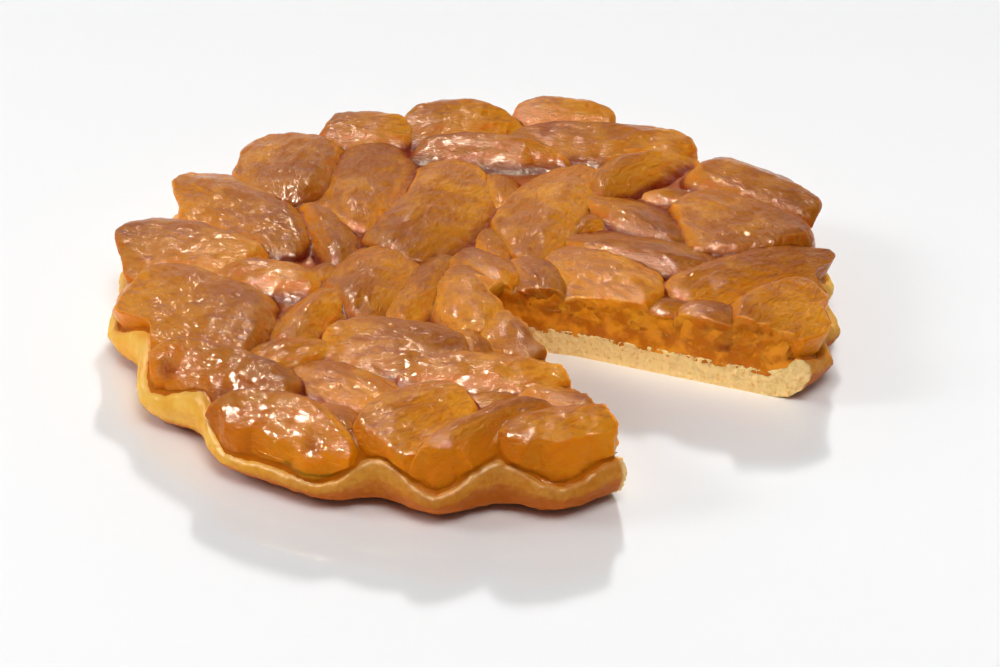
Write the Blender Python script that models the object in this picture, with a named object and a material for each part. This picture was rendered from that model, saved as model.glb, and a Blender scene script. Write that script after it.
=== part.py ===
"""A tarte tatin with one portion cut out: a pastry dish, a bed of soft apple and the apple pieces laid on it.

Lengths are in millimetres until a point becomes a vertex, and +Z is up. The origin is the middle of the underside.
Bearings and headings are degrees anticlockwise from +X. The missing portion opens towards +X and -Y.
"""

import math
from typing import NamedTuple

import bmesh
import bpy

MM = 0.001

# The pastry dish. Its wall bulges round each apple at the rim and folds inwards and upwards between two.
PASTRY_RADIUS = 141.0  # at a bulge
PASTRY_FLOOR = 10.0  # thickness of the floor
FOOT_INSET = 17.0  # the flat underside stops this far inside the wall
FOLD_DEPTH = 7.5  # how far a whole fold draws the wall in
FOLD_HEIGHT = 21.0  # height of the lip at the top of a whole fold
LIP_THICK = 4.0
FOLD_THICK = 4.0  # extra thickness at the top of a fold

# The bed: a low cone of soft apple and caramel on the pastry floor.
BED_MIDDLE = 22.0
BED_FALL = 0.055  # drop for each millimetre away from the middle
GAP = 0.3  # between touching solids
BED_WALL_GAP = 0.6
APPLE_WALL_GAP = 1.6

# The cut: a wedge whose point stands in front of the middle, with a slight knee in the side towards +X.
CUT_TIP = (1.0, -17.0)
CUT_KNEE = (38.0, -25.5)
CUT_SIDES = (-64.5, -22.0)  # bearings of its two sides
CUTTER_REACH = 220.0
CUTTER_LOW, CUTTER_HIGH = -20.0, 80.0

# Sampling of the round shapes.
STEPS_PER_BULGE = 6
EDGE_POINTS = 16

# The apple pieces.
SQUARENESS = 2.5  # exponent of a piece's outline: 2 is an ellipse
APPLE_GAP = 0.07  # between two pieces, as a share of their half widths
SWELL = 1.14  # a piece spreads this much past its outline where it has room
PULLS, PULL = 10, 0.97  # how often, and how far, a corner is drawn in to clear a neighbour
OVERHANG = 3.5  # how far a piece may reach over a low lip
OVERHANG_LIP = 14.2  # over a lip lower than this

SHOULDERS = ((0.0, 0.0), (0.45, 0.0), (0.84, 0.45), (0.98, 1.0))  # a ring's share of the height and of the narrowing


class Bulge(NamedTuple):
    """Where an apple pushes the pastry wall out."""

    bearing: float
    lip: float  # height of the lip there
    fold: float  # how much of a whole fold follows it, anticlockwise


BULGES = (
    Bulge(-19, 12, 0.8),
    Bulge(-10, 13, 0.9),
    Bulge(4, 13, 0.6),
    Bulge(19, 13, 0.1),
    Bulge(31, 13, 0.8),
    Bulge(50, 13.5, 0.3),
    Bulge(61, 13, 0.15),
    Bulge(76, 13, 0.9),
    Bulge(95, 13, 0.9),
    Bulge(113, 13, 1.0),
    Bulge(132, 13, 1.0),
    Bulge(150, 13.5, 1.2),
    Bulge(171, 13, 0.5),
    Bulge(191, 12.5, 1.1),
    Bulge(212, 13.5, 1.0),
    Bulge(232, 11, 0.1),
    Bulge(248, 11, 0.95),
    Bulge(265, 12, 1.0),
    Bulge(283, 13.5, 0.6),
    Bulge(301, 13.5, 0.7),
    Bulge(321, 13, 0.8),
)


class Apple(NamedTuple):
    """One baked piece of apple, seen from above."""

    x: float
    y: float
    length: float
    width: float
    heading: float
    bow: float = 0.0  # how far its ends bend to the left
    taper: float = 0.0  # share of width lost towards the heading
    belly: float = 0.5  # share of the width on the left of the middle line
    top: float = 32.0  # height above the ground
    rise: float = 0.0  # how much higher the end at the heading is
    roll: float = 0.0  # how much higher the left side is
    flat: float = 0.76  # share of its width that its top keeps: small on a ridge. Its length loses half as much
    lean: float = 0.0  # how far its top stands further out than its foot


APPLES = {
    # Round the rim, anticlockwise from the cut.
    "rim_01": Apple(117, -37, 58, 32, 33, taper=-0.1, roll=1, lean=3),
    "rim_02": Apple(110, -8, 74, 33, 14, bow=-2, roll=-2, flat=0.6, lean=3),
    "rim_03": Apple(106, 31, 56, 42, -6, belly=0.55, roll=-1, flat=0.85, lean=3),
    "rim_04": Apple(111, 54, 78, 29, -60, bow=-9, top=33, roll=-1, flat=0.65, lean=9),
    "rim_05": Apple(75, 77, 62, 28, 42, bow=-4, belly=0.6, roll=1, flat=0.35, lean=1),
    "rim_06": Apple(57, 105, 84, 33, -5, bow=4, roll=-2, flat=0.7, lean=4),
    "rim_07": Apple(35, 122, 62, 21, -22, bow=-6, top=34.5, roll=1, flat=0.7, lean=9),
    "rim_08": Apple(-8, 124, 58, 34, 3, top=34, roll=0.5, flat=0.8, lean=4),
    "rim_09": Apple(-49, 116, 48, 30, 14, top=33, roll=0.5, flat=0.7, lean=4),
    "rim_10": Apple(-77, 86, 78, 44, -74, taper=0.15, top=33, flat=0.8, lean=4),
    "rim_11": Apple(-99, 45, 84, 38, -46, roll=1, flat=0.72, lean=3),
    "rim_12": Apple(-112, 8, 60, 35, -9, roll=1, lean=3),
    "rim_13": Apple(-127, -16, 26, 14, -80, top=24),
    "rim_14": Apple(-104, -38, 84, 39, -48, bow=-3, belly=0.6, roll=2, flat=0.7, lean=3),
    "rim_15": Apple(-88, -82, 68, 34, -36, bow=-5, belly=0.4, top=30.5, rise=1, roll=3, flat=0.35),
    "rim_16": Apple(-67, -110, 82, 40, -38, bow=5, belly=0.35, top=30, roll=3.5, flat=0.48),
    "rim_17": Apple(-23, -119, 62, 36, 34, top=31, roll=1, flat=0.88),
    "rim_18": Apple(6, -118, 72, 20, 34, bow=-12, taper=-0.1, top=31, rise=1.5, flat=0.4),
    "rim_19": Apple(27, -130, 68, 35, 12, top=32, roll=1.5, flat=0.86),
    # The second ring.
    "ring_01": Apple(86, -41, 28, 19, 8, top=29, flat=0.6),
    "ring_02": Apple(68, 7, 62, 26, -32, top=30, roll=1, flat=0.6),
    "ring_03": Apple(67, 38, 50, 22, -38, belly=0.6, top=29, roll=1, flat=0.5),
    "ring_04": Apple(78, 61, 20, 9, -8, top=26, flat=0.5),
    "ring_05": Apple(7, 93, 56, 27, -5, top=32, roll=3, flat=0.55),
    "ring_06": Apple(-44, 68, 68, 42, 82, belly=0.52, top=31, flat=0.82),
    "ring_07": Apple(-60, 28, 52, 20, -63, taper=-0.25, belly=0.55, top=30, roll=1, flat=0.25),
    "ring_08": Apple(-80, -12, 46, 22, -14, bow=2, top=30, roll=1.5, flat=0.3),
    "ring_09": Apple(-61, -40, 46, 24, 66, top=30, roll=-1, flat=0.35),
    "ring_10": Apple(-67, -65, 30, 20, 15, top=28, flat=0.55),
    "ring_11": Apple(-45, -86, 40, 30, -28, top=27, flat=0.8),
    "ring_12": Apple(-44, -110, 27, 14, -56, top=26, flat=0.4),
    "ring_13": Apple(6, -83, 60, 23, 6, belly=0.58, top=32, roll=1, flat=0.72),
    "ring_14": Apple(7, -98, 23, 10, 10, top=27, flat=0.5),
    "ring_15": Apple(32, -102, 34, 16, -6, top=30, flat=0.6),
    # The middle.
    "core_01": Apple(71, -34, 20, 17, -20, top=27, flat=0.6),
    "core_02": Apple(47, -21, 60, 34, -76, bow=-3, taper=-0.1, belly=0.6, top=31, roll=1, flat=0.76),
    "core_03": Apple(45, 36, 17, 10, 50, top=26, flat=0.5),
    "core_04": Apple(29, 39, 82, 24, 72, bow=-5, taper=0.1, belly=0.55, top=31, roll=1, flat=0.72),
    "core_05": Apple(22, -11, 34, 17, -68, top=29, flat=0.6),
    "core_06": Apple(9, 15, 30, 15, -76, top=27, flat=0.7),
    "core_07": Apple(9, 62, 24, 13, -80, top=28, flat=0.5),
    "core_08": Apple(-14, 43, 84, 35, 77, bow=10, taper=0.28, top=33, roll=-0.5, flat=0.82),
    "core_09": Apple(7, -6, 27, 19, -35, top=30, flat=0.6),
    "core_10": Apple(-2, -31, 50, 20, -80, bow=2, top=31, flat=0.7),
    "core_11": Apple(-18, -19, 52, 15, 78, top=30, roll=1, flat=0.6),
    "core_12": Apple(-39, -12, 48, 29, 78, top=31),
    "core_13": Apple(-58, -8, 15, 11, 60, top=27, flat=0.5),
    "core_14": Apple(-25, -66, 52, 31, -8, belly=0.55, top=31, roll=0.5, flat=0.8),
    "core_15": Apple(0, -61, 27, 13, -74, top=28, flat=0.6),
    "core_16": Apple(15, -60, 34, 18, -66, top=31, flat=0.6),
}


def clear_scene():
    for leftover in list(bpy.data.objects):
        bpy.data.objects.remove(leftover)


def finish_material(name, color, roughness):
    material = bpy.data.materials.new(name)
    material.use_nodes = True
    shader = material.node_tree.nodes["Principled BSDF"]
    shader.inputs["Base Color"].default_value = (*color, 1.0)
    shader.inputs["Roughness"].default_value = roughness
    shader.inputs["Metallic"].default_value = 0.0
    return material


def add_object(name, shape, material):
    """Stores a bmesh whose points are in millimetres as an object in metres."""
    for vertex in shape.verts:
        vertex.co *= MM
    bmesh.ops.recalc_face_normals(shape, faces=shape.faces)
    mesh = bpy.data.meshes.new(name)
    shape.to_mesh(mesh)
    shape.free()
    mesh.materials.append(material)
    mesh.shade_smooth()
    mesh.set_sharp_from_angle(angle=math.radians(40))
    made = bpy.data.objects.new(name, mesh)
    bpy.context.scene.collection.objects.link(made)
    return made


def close_rings(rings, underside, topside):
    """A closed solid from rings with equal numbers of points, lowest first, and a point that closes each end."""
    shape = bmesh.new()
    rings = [[shape.verts.new(point) for point in ring] for ring in rings]
    ends = shape.verts.new(underside), shape.verts.new(topside)
    for a in range(len(rings[0])):
        b = (a + 1) % len(rings[0])
        shape.faces.new((ends[0], rings[0][b], rings[0][a]))
        shape.faces.new((ends[1], rings[-1][a], rings[-1][b]))
        for lower, upper in zip(rings, rings[1:]):
            shape.faces.new((lower[a], lower[b], upper[b], upper[a]))
    return shape


# The pastry's wavy wall and the bed inside it.


def spans():
    """Each bulge with the one that follows it, and how far apart in degrees they are."""
    following = BULGES[1:] + BULGES[:1]
    return [(near, far, (far.bearing - near.bearing) % 360) for near, far in zip(BULGES, following)]


def wall_at(bearing):
    """(fold, lip): how far the wall is folded in at a bearing, from 0 to 1, and the height of its lip."""
    for near, far, span in spans():
        past = (bearing - near.bearing) % 360
        if past < span:
            share = past / span
            fold = near.fold * math.sin(math.pi * share) ** 2
            lip = near.lip + (far.lip - near.lip) * share
            return fold, lip + (FOLD_HEIGHT - lip) * fold
    raise ValueError(f"no wall at {bearing}")


def wall_section(bearing):
    """The pastry's section at a bearing, as (radius, height): out from the underside, over the lip and in again."""
    fold, lip = wall_at(bearing)
    outer = PASTRY_RADIUS - FOLD_DEPTH * fold
    thick = LIP_THICK + FOLD_THICK * fold
    inner = outer - thick
    return [
        (outer - FOOT_INSET, 0.0),
        (outer - 0.52 * FOOT_INSET, 1.1),
        (outer - 0.18 * FOOT_INSET, 4.8),
        (outer, 0.72 * lip),
        (outer - 0.22 * thick, lip - 0.7),
        (outer - 0.6 * thick, lip),
        (inner, lip - 1.0),
        (inner - 1.6, (PASTRY_FLOOR + lip) / 2 - 0.8),
        (inner - 8.0, PASTRY_FLOOR),
    ]


def inside_radius(bearing, height):
    """How far the inside of the wall is from the axis at a height."""
    inside = wall_section(bearing)[:-4:-1]
    for (near, low), (far, high) in zip(inside, inside[1:]):
        if low <= height <= high:
            return near + (far - near) * (height - low) / (high - low)
    return inside[-1][0]


def bed_height(radius):
    return BED_MIDDLE - BED_FALL * radius


def bed_section(bearing):
    """The bed's section: it fills the dish, a little short of the wall."""
    floor_edge, _ = wall_section(bearing)[-1]
    edge = inside_radius(bearing, bed_height(PASTRY_RADIUS)) - BED_WALL_GAP
    return [(floor_edge - GAP, PASTRY_FLOOR + GAP), (edge, bed_height(edge))]


def round_solid(section_of, underside, topside):
    """A closed solid round the axis, sampled evenly between each two bulges."""
    bearings = [
        near.bearing + span * step / STEPS_PER_BULGE
        for near, _, span in spans()
        for step in range(STEPS_PER_BULGE)
    ]
    sections = [section_of(bearing) for bearing in bearings]
    rings = []
    for level in range(len(sections[0])):
        ring = []
        for bearing, section in zip(bearings, sections):
            radius, height = section[level]
            turn = math.radians(bearing)
            ring.append((radius * math.cos(turn), radius * math.sin(turn), height))
        rings.append(ring)
    return close_rings(rings, (0, 0, underside), (0, 0, topside))


# The apple pieces.


def share_of(apple, x, y):
    """A point as a share of the half length along the piece's bowed middle line, and millimetres to the left of it."""
    turn = math.radians(apple.heading)
    dx, dy = x - apple.x, y - apple.y
    along = (dx * math.cos(turn) + dy * math.sin(turn)) / (apple.length / 2)
    across = dy * math.cos(turn) - dx * math.sin(turn)
    return along, across - bow_at(apple, along)


def point_of(apple, along, across):
    """The reverse of share_of."""
    turn = math.radians(apple.heading)
    u = along * apple.length / 2
    v = across + bow_at(apple, along)
    x = apple.x + u * math.cos(turn) - v * math.sin(turn)
    y = apple.y + u * math.sin(turn) + v * math.cos(turn)
    return x, y


def bow_at(apple, along):
    return apple.bow * (min(along * along, 1.5) - 1 / 3)


def level_of(apple, x, y):
    """0 in the middle of the piece, 1 on its own outline, and more outside it."""
    along, across = share_of(apple, x, y)
    side = apple.width * (apple.belly if across > 0 else 1 - apple.belly)
    side *= max(0.2, 1 - apple.taper * along)
    return (abs(along) ** SQUARENESS + abs(across / side) ** SQUARENESS) ** (1 / SQUARENESS)


def wall_room(x, y):
    """How far a point on the bed is from the pastry wall, or from the furthest it may reach over a low lip."""
    radius = math.hypot(x, y)
    bearing = math.degrees(math.atan2(y, x))
    _, lip = wall_at(bearing)
    overhang = OVERHANG * min(1, max(0, OVERHANG_LIP - lip))
    return inside_radius(bearing, bed_height(radius) + GAP) - APPLE_WALL_GAP + overhang - radius


def is_inside(apple, neighbours, along, across):
    """Whether a place belongs to the piece: inside its outline, no neighbour's, and clear of the pastry wall."""
    x, y = point_of(apple, along, across)
    level = level_of(apple, x, y)
    if level > SWELL or wall_room(x, y) < 0:
        return False
    return all(level < level_of(other, x, y) - APPLE_GAP for other in neighbours)


def outline_of(apple, neighbours):
    """The piece's outline, found outwards from its middle, as (share along, millimetres across)."""
    coarse, fine = 0.04, 8
    edge = []
    for step in range(EDGE_POINTS):
        angle = 2 * math.pi * (step + 0.5) / EDGE_POINTS
        along, across = math.cos(angle), math.sin(angle) * apple.width / 2
        inside, outside = 0.0, coarse
        while is_inside(apple, neighbours, along * outside, across * outside):
            inside, outside = outside, outside + coarse
        for _ in range(fine):
            middle = (inside + outside) / 2
            if is_inside(apple, neighbours, along * middle, across * middle):
                inside = middle
            else:
                outside = middle
        edge.append((along * inside, across * inside))
    return pull_in(apple, neighbours, edge)


def pull_in(apple, neighbours, edge):
    """Draws corners towards the middle until the straight sides between them belong to the piece too."""
    for _ in range(PULLS):
        for a in range(EDGE_POINTS):
            b = (a + 1) % EDGE_POINTS
            (along_a, across_a), (along_b, across_b) = edge[a], edge[b]
            if not is_inside(apple, neighbours, (along_a + along_b) / 2, (across_a + across_b) / 2):
                edge[a] = along_a * PULL, across_a * PULL
                edge[b] = along_b * PULL, across_b * PULL
    return edge


def apple_rings(apple, others):
    """Rings of points from the piece's foot up to its top, and the points that close them."""
    reach = [other for other in others if math.dist(other[:2], apple[:2]) < (other.length + apple.length) / 2 + 2]
    edge = outline_of(apple, reach)
    bearing = math.atan2(apple.y, apple.x)

    def point_at(along, across, height):
        """At a share of the height from the plane that touches the bed along the piece's bearing to its top."""
        x, y = point_of(apple, along, across)
        foot = bed_height(x * math.cos(bearing) + y * math.sin(bearing)) + GAP
        top = apple.top + apple.rise * along + apple.roll * across / (apple.width / 2)
        x += height * apple.lean * math.cos(bearing)
        y += height * apple.lean * math.sin(bearing)
        return x, y, foot + height * (top - foot)

    rings = []
    for height, narrowing in SHOULDERS:
        lost = narrowing * (1 - apple.flat)
        rings.append([point_at(along * (1 - lost / 2), across * (1 - lost), height) for along, across in edge])
    return rings, point_at(0, 0, 0), point_at(0, 0, 1)


# The cut.


def cut_corners():
    """The corners of the missing portion, anticlockwise from its point."""
    far = []
    for start, bearing in zip((CUT_TIP, CUT_KNEE), CUT_SIDES):
        turn = math.radians(bearing)
        far.append((start[0] + CUTTER_REACH * math.cos(turn), start[1] + CUTTER_REACH * math.sin(turn)))
    return [CUT_TIP, *far, CUT_KNEE]


def make_cutter():
    """The wedge of the missing portion, a helper that isn't part of the tart."""
    corners = cut_corners()
    middle = [sum(axis) / len(corners) for axis in zip(*corners)]
    rings = [[(*corner, height) for corner in corners] for height in (CUTTER_LOW, CUTTER_HIGH)]
    shape = close_rings(rings, (*middle, CUTTER_LOW), (*middle, CUTTER_HIGH))
    cutter = add_object("portion_cutter", shape, finish_material("helper", (0.5, 0.5, 0.5), 0.5))
    cutter.hide_render = True
    cutter.display_type = "WIRE"
    return cutter


def cut_with(cutter, made):
    cut = made.modifiers.new("missing portion", "BOOLEAN")
    cut.operation = "DIFFERENCE"
    cut.object = cutter


def is_in_cut(x, y):
    corners = cut_corners()
    return all(
        (bx - ax) * (y - ay) > (by - ay) * (x - ax)
        for (ax, ay), (bx, by) in zip(corners, corners[1:] + corners[:1])
    )


def main():
    clear_scene()
    pastry = finish_material("pastry", (0.62, 0.33, 0.09), 0.55)
    bed = finish_material("soft apple bed", (0.42, 0.15, 0.02), 0.35)
    flesh = finish_material("caramelised apple", (0.52, 0.2, 0.035), 0.3)
    cutter = make_cutter()
    dish_shape = round_solid(wall_section, 0, PASTRY_FLOOR)
    cut_with(cutter, add_object("pastry", dish_shape, pastry))
    bed_shape = round_solid(bed_section, PASTRY_FLOOR + GAP, BED_MIDDLE)
    cut_with(cutter, add_object("apple_bed", bed_shape, bed))
    for name, apple in APPLES.items():
        others = [other for other in APPLES.values() if other is not apple]
        rings, underside, topside = apple_rings(apple, others)
        made = add_object("apple_" + name, close_rings(rings, underside, topside), flesh)
        if any(is_in_cut(x, y) for ring in rings for x, y, _ in ring):
            cut_with(cutter, made)


if __name__ == "__main__":
    main()
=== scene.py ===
"""The looks of a tarte tatin with one portion taken out.

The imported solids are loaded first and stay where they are. Each apple piece, the soft apple that fills the
valleys between them and the pastry under them is modelled over its solid, at its full fineness, and dressed.
Lengths are in millimetres until they meet Blender, where MM makes them metres.
"""

from __future__ import annotations

import logging
import math
from collections.abc import Callable
from dataclasses import dataclass, field
from enum import Enum

import bpy
import numpy as np
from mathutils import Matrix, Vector
from mathutils.bvhtree import BVHTree

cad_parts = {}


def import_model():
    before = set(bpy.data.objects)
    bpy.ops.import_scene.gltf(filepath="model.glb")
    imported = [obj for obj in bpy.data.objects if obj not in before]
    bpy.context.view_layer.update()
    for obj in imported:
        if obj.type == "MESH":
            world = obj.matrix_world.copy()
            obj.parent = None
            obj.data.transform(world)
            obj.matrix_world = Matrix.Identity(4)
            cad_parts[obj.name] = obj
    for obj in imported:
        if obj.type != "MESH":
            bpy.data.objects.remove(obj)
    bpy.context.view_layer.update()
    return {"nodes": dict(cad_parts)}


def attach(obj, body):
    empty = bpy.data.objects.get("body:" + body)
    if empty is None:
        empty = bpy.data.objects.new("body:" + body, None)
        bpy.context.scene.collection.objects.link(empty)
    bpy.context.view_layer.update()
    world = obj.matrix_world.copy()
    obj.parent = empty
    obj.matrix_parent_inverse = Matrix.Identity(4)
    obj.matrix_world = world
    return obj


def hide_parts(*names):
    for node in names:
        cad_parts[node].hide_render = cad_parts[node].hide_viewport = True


MM = 0.001
MERGE = 1e-6
SEED = 7

log = logging.getLogger("tatin")

Piece = bpy.types.Object
Material = bpy.types.Material
Tree = bpy.types.NodeTree
Node = bpy.types.Node
Socket = bpy.types.NodeSocket
Rows = np.ndarray  # one row or one number for each vertex
Vec3 = tuple[float, float, float]
Band = tuple[float, float]


# Handling objects as by hand.


def hold(*pieces: Piece) -> None:
    """Selects these objects alone and makes the first one active."""
    bpy.ops.object.select_all(action="DESELECT")
    for piece in pieces:
        piece.select_set(True)
    bpy.context.view_layer.objects.active = pieces[0]


def finish_with(piece: Piece, kind: str, **settings: object) -> None:
    """Gives an object one modifier and applies it.

    Args:
        piece: The object to shape.
        kind: The modifier's type.
        settings: Its settings, by name.
    """
    hold(piece)
    modifier = piece.modifiers.new(kind.title(), kind)
    for setting, value in settings.items():
        setattr(modifier, setting, value)
    bpy.ops.object.modifier_apply(modifier=modifier.name)


def edit_all(piece: Piece, operator: Callable[..., object], **settings: object) -> None:
    """Selects all of an object in edit mode and runs one operator on it.

    Args:
        piece: The object.
        operator: The operator.
        settings: Its settings, by name.
    """
    hold(piece)
    bpy.ops.object.mode_set(mode="EDIT")
    bpy.ops.mesh.select_all(action="SELECT")
    operator(**settings)
    bpy.ops.object.mode_set(mode="OBJECT")


def remesh(piece: Piece, voxel: float) -> None:
    """Gives an object one even skin, in steps of some millimetres."""
    finish_with(piece, "REMESH", mode="VOXEL", voxel_size=voxel * MM)


def smooth(piece: Piece, times: int, **settings: object) -> None:
    """Smooths an object some times over."""
    finish_with(piece, "SMOOTH", factor=0.5, iterations=times, **settings)


def puff(piece: Piece, out: float) -> None:
    """Moves an object's skin outwards by some millimetres."""
    finish_with(piece, "DISPLACE", strength=out * MM, mid_level=0.0)


def new_object(name: str, data: bpy.types.ID | None) -> Piece:
    """Puts a new object into the scene.

    Args:
        name: The object's name.
        data: Its mesh, light or camera, or None for an empty.

    Returns:
        The object.
    """
    made = bpy.data.objects.new(name, data)
    bpy.context.scene.collection.objects.link(made)
    return made


def copy_of(node: Piece, name: str) -> Piece:
    """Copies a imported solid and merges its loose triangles.

    Args:
        node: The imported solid.
        name: The copy's name.

    Returns:
        The copy, a closed mesh.
    """
    piece = new_object(name, node.data.copy())
    piece.data.materials.clear()
    edit_all(piece, bpy.ops.mesh.remove_doubles, threshold=MERGE)
    return piece


def join(pieces: list[Piece], name: str) -> Piece:
    """Joins copies of some objects, leaving the objects themselves alone.

    Args:
        pieces: The objects.
        name: The name of the new one.

    Returns:
        The new object.
    """
    copies = []
    for piece in pieces:
        copy = piece.copy()
        copy.data = piece.data.copy()
        bpy.context.scene.collection.objects.link(copy)
        copies.append(copy)
    hold(*copies)
    bpy.ops.object.join()
    copies[0].name = name
    copies[0].data.name = name
    return copies[0]


def points_of(piece: Piece, what: str = "co") -> Rows:
    """The places of an object's vertices.

    Args:
        piece: The object.
        what: What else to read of each vertex.

    Returns:
        One row for each vertex.
    """
    flat = np.empty(len(piece.data.vertices) * 3, np.float32)
    piece.data.vertices.foreach_get(what, flat)
    return flat.reshape(-1, 3).astype(np.float64)


def normals_of(piece: Piece) -> Rows:
    """The normals at an object's vertices, one row each."""
    return points_of(piece, "normal")


def radius_of(points: Rows) -> Rows:
    """How far each point is from the tart's axis, in millimetres."""
    return np.hypot(points[:, 0], points[:, 1]) / MM


def move_points(piece: Piece, points: Rows) -> None:
    """Puts an object's vertices where the rows say."""
    piece.data.vertices.foreach_set("co", points.astype(np.float32).ravel())
    piece.data.update()


def store(piece: Piece, name: str, values: Rows) -> None:
    """Keeps a number or a vector for each vertex, for the materials to read.

    Args:
        piece: The object.
        name: The attribute's name.
        values: One number, or one row of three, for each vertex.
    """
    kind, key = ("FLOAT", "value") if values.ndim == 1 else ("FLOAT_VECTOR", "vector")
    attribute = piece.data.attributes.new(name, kind, "POINT")
    attribute.data.foreach_set(key, values.astype(np.float32).ravel())


def ease(values: Rows, band: Band) -> Rows:
    """Runs smoothly from 0 at a band's start to 1 at its end.

    Args:
        values: The values.
        band: The band, in the values' own measure.

    Returns:
        A share for each value.
    """
    low, high = band
    share = np.clip((values - low) / (high - low), 0, 1)
    return share * share * (3 - 2 * share)


def ease_metres(values: Rows, band: Band) -> Rows:
    """Does so for lengths in metres, over a band in millimetres."""
    return ease(values, (band[0] * MM, band[1] * MM))


class Relief(Enum):
    """The reliefs that the surfaces carry: (texture, size in mm, detail)."""

    SWELL = ("CLOUDS", 15.0, 1)
    LUMP = ("CLOUDS", 5.5, 2)
    FIBRE = ("CLOUDS", 1.5, 2)
    BLISTER = ("CLOUDS", 2.4, 2)
    CRUMB = ("VORONOI", 2.2, 0)

    def texture(self) -> bpy.types.Texture:
        """Makes the relief's texture, once for all pieces.

        Returns:
            The texture.
        """
        made = bpy.data.textures.get(self.name)
        if made is None:
            kind, size, detail = self.value
            made = bpy.data.textures.new(self.name, kind)
            made.noise_scale = size * MM
            if kind == "CLOUDS":
                made.noise_depth = detail
        return made


@dataclass(frozen=True)
class Grain:
    """The way that a relief runs: stretched along a heading, from a place of its own."""

    heading: float = 0.0
    stretch: float = 1.0
    offset: Vec3 = (0.0, 0.0, 0.0)

    def guide(self) -> Piece:
        """Sets up what the relief is read from.

        Returns:
            An empty that carries the heading, the stretch and the place.
        """
        guide = new_object("grain", None)
        guide.location = self.offset
        guide.rotation_euler = (0, 0, math.radians(self.heading))
        guide.scale = (self.stretch, 1.0, 1.0)
        bpy.context.view_layer.update()
        return guide


def emboss(
    piece: Piece,
    relief: Relief,
    depth: float,
    grain: Grain = Grain(),
    share: Rows | None = None,
) -> None:
    """Presses a relief into an object.

    Args:
        piece: The object.
        relief: Which relief.
        depth: Its full depth in millimetres, half of it outwards.
        grain: The way that it runs.
        share: How much of it each vertex takes, or all of it.
    """
    before = points_of(piece)
    guide = grain.guide()
    finish_with(
        piece,
        "DISPLACE",
        texture=relief.texture(),
        texture_coords="OBJECT",
        texture_coords_object=guide,
        strength=depth * MM,
        mid_level=0.5,
    )
    bpy.data.objects.remove(guide)
    if share is not None:
        move_points(piece, before + (points_of(piece) - before) * share[:, None])


# Node work that the finishes share.


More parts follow.
